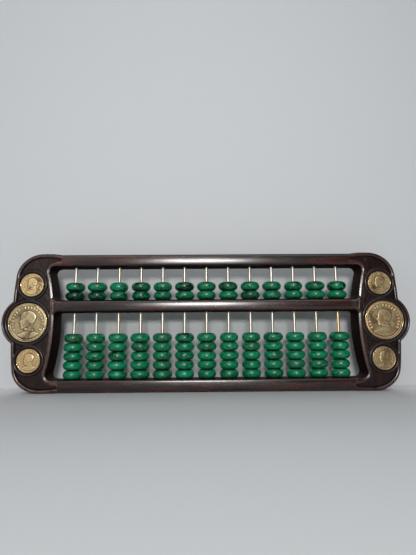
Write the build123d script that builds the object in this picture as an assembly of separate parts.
from build123d import *
import math
import os

# A bead abacus that stands on its edge: a carved hardwood frame with thirteen metal rods,
# two beads above the beam and five below it on every rod, and three coins in each end.
# Frame of the part: X along the length, +Y to the back, +Z up. The origin is on the
# ground, under the middle of the frame.

# ---- driving dimensions, mm ----
HEIGHT = 140.0
DEPTH = 26.0
COLUMNS = 13
PITCH = 22.8  # rod to rod
ROD_D = 3.0
BEAD_D = 19.6
BEAD_H = 9.05
BEAD_GAP = 0.1  # under every bead, and over a raised stack
UPPER_BEADS = 2
LOWER_BEADS = 5

# rails and beam, heights up from the ground
RAIL_INSET = 1.0  # the rails lie this much inside the end panels' height
RAIL_IN = 12.7  # inner face of the bottom rail; the top rail mirrors it
BEAM_LOW = 79.9
BEAM_TOP = 92.7
JOINT_X = 147.2  # where a rail and an end panel butt
RAIL_SWELL = 0.5  # how far a rail's front swells between its rounded edges
BEAM_DEPTH = 25.0
BEAM_SWELL = 0.6
BEAM_CROWN = 0.5  # the beam's top and underside are crowned across its depth
BEAM_R = 2.4
BEAM_SPARE = 4.0  # length left on each end of the beam, to scribe its shoulders
EDGE_OUT_R = 2.2  # the frame's outer edges, rails and end panels alike
EDGE_IN_R = 1.5  # edges round the openings

# joinery
TENON_L = 9.0
TENON_T = 8.0
TENON_H = 5.5
TENON_GAP = 0.05
TENON_ROOT = 1.0  # how far a tenon starts inside its rail or beam
ROD_GRIP = 6.5  # how deep a rod stands in the bottom rail
ROD_END_GAP = 0.5  # left above the rod in the top rail
ROD_GAP = 0.05  # round a rod in its hole

# beads
BORE_D = 3.8
BORE_BEVEL = 0.5
CROWN_R = 8.0
CROWN_TURN = 12.0  # degrees of the flatter arc, before the rounder rim

# right end panel; outline heights are measured from mid-height
LOBE_X = 180.3
LOBE_R = 26.2
SMALL_X = 177.5
SMALL_RISE = 38.0  # small coins above and below the large one
CREST = (158.5, 166.5)  # the panel is flat at its top and bottom between these
SHOULDER = (185.2, 63.2)
FLANK = (193.9, 47.0)
NECK = (195.9, 21.05)
NOTCH_R = 0.9
INNER_X = 154.0  # the panel's farthest reach into the opening
INNER_R = 210.0
CORNER_R = 5.5

# sunk ground of the end panels
SINK = 1.6
RIM_W = 4.2
TIP = (147.9, 64.0)
BAND_FOOT_X = 159.0  # the raised band beside the opening, at mid-height
BAND_TURN = (163.4, 47.0)
BAND_END = (154.0, 62.6)
BEZEL_R = {"large": 24.0, "small": 15.9}
GROUND_R = 0.3  # corners of the sunk ground
CARVED_R = 0.9  # every top edge of the sunk ground

# coins
COIN_D = {"large": 39.0, "small": 23.3}
COIN_T = {"large": 2.5, "small": 1.7}
COIN_RIM_W = {"large": 1.2, "small": 0.9}
COIN_FIELD = 0.3  # the field below the coin's rim
COIN_EDGE = 0.25
COIN_BELOW = 0.8  # the coin's rim below the bezel's crest
COIN_GAP = 0.15
POCKET_R = 0.7  # rounding of a pocket's mouth

# ---- for the making of the solids ----
OVER = 1.0  # how far a cut runs on past the face that it opens
NEAR = 1e-3  # points closer than this are the same
SMOOTH_TURN = 172.0  # edges that meet at a wider angle run on smoothly, degrees

# ---- derived ----
MID = HEIGHT / 2
TOP_IN = HEIGHT - RAIL_IN
STEP_UP = BEAD_H + BEAD_GAP  # bead to bead
COLUMN_X = [(i - (COLUMNS - 1) / 2) * PITCH for i in range(COLUMNS)]
COIN_PLACES = {
    "large": [(LOBE_X, 0)],
    "small": [(SMALL_X, SMALL_RISE), (SMALL_X, -SMALL_RISE)],
}


def stand_up(face):
    """A face drawn in (x, height from mid-height), stood up at mid-depth."""
    return Pos(0, 0, MID) * (Plane.XZ * face)


def on_front(face):
    """The same, on the frame's front plane."""
    return Pos(0, -DEPTH / 2, 0) * stand_up(face)


def other_end(shape):
    return mirror(shape, about=Plane.YZ)


def inward(edge, at, width):
    """The point that lies width to the right of an edge, at a share of its length."""
    along = edge % at
    return edge @ at + Vector(along.Y, -along.X) * width


def inner_x(rise):
    """Where the panel's bowed inner side stands at a height from the middle."""
    return INNER_X + INNER_R - math.sqrt(INNER_R**2 - rise**2)


def shoulder_arcs():
    """The rounded shoulder and flank of the outline, down to the notch at the lobe."""
    shoulder = TangentArc((CREST[1], MID), SHOULDER, tangent=(1, 0))
    flank = TangentArc(SHOULDER, FLANK, tangent=shoulder % 1)
    neck = TangentArc(FLANK, NECK, tangent=flank % 1)
    return [shoulder, flank, neck]


def panel_face():
    """Outline of the right end panel: joint, ogee, shoulder, lobe and bowed inner side."""
    rise, high = TOP_IN - MID, MID - RAIL_INSET
    corner = (inner_x(rise), rise)
    tip = (LOBE_X + LOBE_R, 0)
    turn = math.atan2(NECK[1], NECK[0] - LOBE_X) / 2
    on_lobe = (LOBE_X + LOBE_R * math.cos(turn), LOBE_R * math.sin(turn))
    half = make_face(
        [
            ThreePointArc((INNER_X, 0), (inner_x(rise / 2), rise / 2), corner),
            Line(corner, (JOINT_X, rise)),
            Line((JOINT_X, rise), (JOINT_X, high)),
            Spline((JOINT_X, high), (CREST[0], MID), tangents=[(1, 0), (1, 0)]),
            Line((CREST[0], MID), (CREST[1], MID)),
            *shoulder_arcs(),
            ThreePointArc(NECK, on_lobe, tip),
            Line(tip, (INNER_X, 0)),
        ]
    )
    face = half + mirror(half, about=Plane.XZ)
    for point, radius in ((corner, CORNER_R), (NECK, NOTCH_R)):
        face = fillet(vertices_at(face, point), radius)
    return face


def vertices_at(face, point):
    """The corners of a face at a point of the upper half and at its mirror image."""
    return [
        v
        for v in face.vertices()
        if math.hypot(v.X - point[0], abs(v.Y) - point[1]) < 10 * NEAR
    ]


def ground_face():
    """The sunk ground between rim, band and bezels, above and below mid-height."""
    crest_in = (CREST[1], MID - RIM_W)
    arcs = [
        TangentArc(inward(a, 0, RIM_W), inward(a, 1, RIM_W), tangent=a % 0)
        for a in shoulder_arcs()
    ]
    low = arcs[-1] @ 1
    band = TangentArc((BAND_FOOT_X, 0), BAND_TURN, tangent=(0, 1))
    bend = TangentArc(BAND_TURN, BAND_END, tangent=band % 1)
    half = make_face(
        [
            band,
            bend,
            TangentArc(BAND_END, TIP, tangent=bend % 1),
            TangentArc(crest_in, TIP, tangent=(-1, 0)),
            *arcs,
            Line(low, (low.X, 0)),
            Line((low.X, 0), (BAND_FOOT_X, 0)),
        ]
    )
    for size, places in COIN_PLACES.items():
        for x, rise in places:
            half -= Pos(x, rise) * Circle(BEZEL_R[size])
    whole = half + mirror(half, about=Plane.XZ)
    return [fillet(sharp_corners(Sketch() + f), GROUND_R) for f in whole.faces()]


def sharp_corners(face):
    """The corners of a face where its edges don't run on smoothly."""
    found = []
    for corner in face.vertices():
        ways = [
            e % at if at == 0 else -(e % at)
            for e in face.edges()
            for at in (0, 1)
            if (e @ at - Vector(corner)).length < NEAR
        ]
        if ways[0].get_angle(ways[1]) < SMOOTH_TURN:
            found.append(corner)
    return found


def end_panel():
    """Right end panel: rounded outline, sunk ground, coin pockets and mortises."""
    body = extrude(stand_up(panel_face()), DEPTH / 2, both=True)
    body = fillet(outline_edges(body, outer=True), EDGE_OUT_R)
    body = fillet(outline_edges(body, outer=False), EDGE_IN_R)
    for face in ground_face():
        body -= extrude(on_front(face), -SINK)
    body = fillet(carved_edges(body), CARVED_R)
    for size, places in COIN_PLACES.items():
        for x, rise in places:
            body -= pocket(size, x, rise)
    for x, z in ((JOINT_X, rail_middle()), (INNER_X, beam_middle())):
        body -= tenon(x, z, TENON_GAP)
    body -= tenon(JOINT_X, HEIGHT - rail_middle(), TENON_GAP)
    return body


def outline_edges(body, outer):
    """Front and back edges of the outline: outside the frame, or round the opening."""
    found = []
    for edge in body.edges():
        start, middle = edge @ 0, edge @ 0.5
        in_face = abs(start.Y - middle.Y) < NEAR and abs(middle.X - JOINT_X) > NEAR
        opening = abs(middle.Z - MID) < TOP_IN - MID + NEAR and middle.X < BAND_TURN[0]
        if in_face and opening != outer:
            found.append(edge)
    return found


def carved_edges(body):
    """The top edges of the sunk ground: where its upright walls meet the front."""
    found = []
    for face in body.faces():
        low, high = face.bounding_box().min.Y, face.bounding_box().max.Y
        if abs(low + DEPTH / 2) < NEAR and abs(high - low - SINK) < NEAR:
            found += [
                e for e in face.edges() if e.bounding_box().max.Y < low + SINK / 2
            ]
    return found


def pocket(size, x, rise):
    """The round pocket that a coin lies in, its mouth rounded over."""
    deep = COIN_BELOW + COIN_T[size]
    radius = COIN_D[size] / 2 + COIN_GAP
    wide = radius + POCKET_R
    hole = Polyline(
        (radius, -POCKET_R), (radius, -deep), (0, -deep), (0, OVER), (wide, OVER), (wide, 0)
    )
    section = make_face([hole, TangentArc((wide, 0), (radius, -POCKET_R), tangent=(-1, 0))])
    cut = revolve(Plane.XZ * section, Axis.Z)
    return Pos(x, -DEPTH / 2, MID + rise) * (Rot(90, 0, 0) * cut)


def rail_middle():
    return (RAIL_INSET + RAIL_IN) / 2


def beam_middle():
    return (BEAM_LOW + BEAM_TOP) / 2


def tenon(x, z, gap=0.0):
    """A tenon that points away from the middle of the frame, or its mortise."""
    length = TENON_ROOT + TENON_L + 4 * gap
    size = (length, TENON_T + 2 * gap, TENON_H + 2 * gap)
    return Pos(x - TENON_ROOT + length / 2, 0, z) * Box(*size)


def rail_section():
    """Section of the bottom rail in (y, z): swelled front, rounded edges, flat inside."""
    back, front = DEPTH / 2, -DEPTH / 2
    low, high = RAIL_INSET, RAIL_IN
    face = make_face(
        [
            Polyline((front + RAIL_SWELL, high), (back, high), (back, low)),
            Line((back, low), (front + RAIL_SWELL, low)),
            ThreePointArc(
                (front + RAIL_SWELL, low),
                (front, (low + high) / 2),
                (front + RAIL_SWELL, high),
            ),
        ]
    )
    for z, radius in ((low, EDGE_OUT_R), (high, EDGE_IN_R)):
        corners = [v for v in face.vertices() if abs(v.Y - z) < NEAR]
        face = fillet(corners, radius)
    return face


def rod_holes(z_from, z_to):
    """Thirteen holes for the rods between two heights."""
    hole = Cylinder(ROD_D / 2 + ROD_GAP, z_to - z_from)
    return [Pos(x, 0, (z_from + z_to) / 2) * hole for x in COLUMN_X]


def bottom_rail():
    """Straight rail with a tenon at each end and a row of blind holes along its top."""
    body = bar(rail_section(), -JOINT_X, JOINT_X)
    peg = tenon(JOINT_X, rail_middle())
    return body + peg + other_end(peg) - rod_holes(RAIL_IN - ROD_GRIP, RAIL_IN + OVER)


def top_rail():
    """The bottom rail's mirror image, its holes deeper by the gap over the rods."""
    body = bar(rail_section(), -JOINT_X, JOINT_X)
    peg = tenon(JOINT_X, rail_middle())
    body = mirror(body + peg + other_end(peg), about=Plane.XY.offset(MID))
    return body - rod_holes(TOP_IN - OVER, TOP_IN + ROD_GRIP + ROD_END_GAP)


def bar(section, x_from, x_to):
    """A section drawn in (y, z), run along X."""
    return Pos(x_from, 0, 0) * extrude(Plane.YZ * section, x_to - x_from)


def beam_section():
    """Section of the beam in (y, z): swelled front and back, crowned top and underside."""
    y, low, high = BEAM_DEPTH / 2, BEAM_LOW + BEAM_CROWN, BEAM_TOP - BEAM_CROWN
    side = y - BEAM_SWELL
    middle = beam_middle()
    face = make_face(
        [
            ThreePointArc((-side, low), (0, BEAM_LOW), (side, low)),
            ThreePointArc((side, low), (y, middle), (side, high)),
            ThreePointArc((side, high), (0, BEAM_TOP), (-side, high)),
            ThreePointArc((-side, high), (-y, middle), (-side, low)),
        ]
    )
    return fillet(face.vertices(), BEAM_R)


def cross_beam():
    """The beam, its shoulders scribed to the bowed sides of the end panels."""
    reach = INNER_X + BEAM_SPARE
    side = extrude(stand_up(panel_face()), DEPTH, both=True)
    body = bar(beam_section(), -reach, reach) - side - other_end(side)
    peg = tenon(INNER_X, beam_middle())
    return body + peg + other_end(peg) - rod_holes(BEAM_LOW - OVER, BEAM_TOP + OVER)


def rods():
    """Thirteen rods from the bottom rail's holes, through the beam, into the top rail."""
    low, high = RAIL_IN - ROD_GRIP, TOP_IN + ROD_GRIP
    rod = Cylinder(ROD_D / 2, high - low)
    return Compound([Pos(x, 0, (low + high) / 2) * rod for x in COLUMN_X])


def bead():
    """One bead, standing on z = 0: flat seats, flatter crowns, a rounder rim, a bore."""
    turn = math.radians(CROWN_TURN)
    rim_r = (BEAD_H / 2 - CROWN_R * (1 - math.cos(turn))) / math.cos(turn)
    seat = BEAD_D / 2 - rim_r * (1 - math.sin(turn)) - CROWN_R * math.sin(turn)
    bore = BORE_D / 2
    crown = JernArc((seat, 0), (1, 0), CROWN_R, CROWN_TURN)
    rim = JernArc(crown @ 1, crown % 1, rim_r, 180 - 2 * CROWN_TURN)
    upper = JernArc(rim @ 1, rim % 1, CROWN_R, CROWN_TURN)
    hole = Polyline(
        (seat, BEAD_H),
        (bore + BORE_BEVEL, BEAD_H),
        (bore, BEAD_H - BORE_BEVEL),
        (bore, BORE_BEVEL),
        (bore + BORE_BEVEL, 0),
        (seat, 0),
    )
    return revolve(Plane.XZ * make_face([crown, rim, upper, hole]), Axis.Z)


def stack(x, z, count):
    """Beads lying one on another on a rod, over a face or a bead that ends at z."""
    return Compound([Pos(x, 0, z + BEAD_GAP + i * STEP_UP) * bead() for i in range(count)])


def coins(size):
    """The coins of one size, both ends: plain field inside a raised rim."""
    radius, thick = COIN_D[size] / 2, COIN_T[size]
    inside = radius - COIN_RIM_W[size]
    section = make_face(
        Polyline(
            (0, 0),
            (radius - COIN_EDGE, 0),
            (radius, COIN_EDGE),
            (radius, thick - COIN_EDGE),
            (radius - COIN_EDGE, thick),
            (inside, thick),
            (inside - COIN_FIELD, thick - COIN_FIELD),
            (0, thick - COIN_FIELD),
            (0, 0),
        )
    )
    coin = Rot(90, 0, 0) * revolve(Plane.XZ * section, Axis.Z)
    back = -DEPTH / 2 + COIN_BELOW + thick
    placed = [Pos(x, back, MID + rise) * coin for x, rise in COIN_PLACES[size]]
    return Compound(placed + [other_end(c) for c in placed])


def parts():
    """Every sub-part by the name of its node."""
    panel = end_panel()
    made = {
        "right_end_panel": panel,
        "left_end_panel": other_end(panel),
        "bottom_rail": bottom_rail(),
        "top_rail": top_rail(),
        "cross_beam": cross_beam(),
        "rods": rods(),
        "large_coins": coins("large"),
        "small_coins": coins("small"),
    }
    four = LOWER_BEADS - 1
    for number, x in enumerate(COLUMN_X, 1):
        made[f"upper_bead_first_{number:02d}"] = stack(x, BEAM_TOP, 1)
        made[f"upper_bead_second_{number:02d}"] = stack(x, BEAM_TOP + STEP_UP, 1)
        made[f"lower_beads_four_{number:02d}"] = stack(x, RAIL_IN, four)
        made[f"lower_bead_top_{number:02d}"] = stack(x, RAIL_IN + four * STEP_UP, 1)
    return made


def main():
    os.makedirs("parts", exist_ok=True)
    for name, shape in parts().items():
        export_step(shape, f"parts/{name}.step")
    upper = TOP_IN - BEAM_TOP - UPPER_BEADS * STEP_UP - BEAD_GAP
    lower = BEAM_LOW - RAIL_IN - LOWER_BEADS * STEP_UP - BEAD_GAP
    print(f"travel of the beads: {upper:.2f} mm above the beam, {lower:.2f} mm below it")


main()
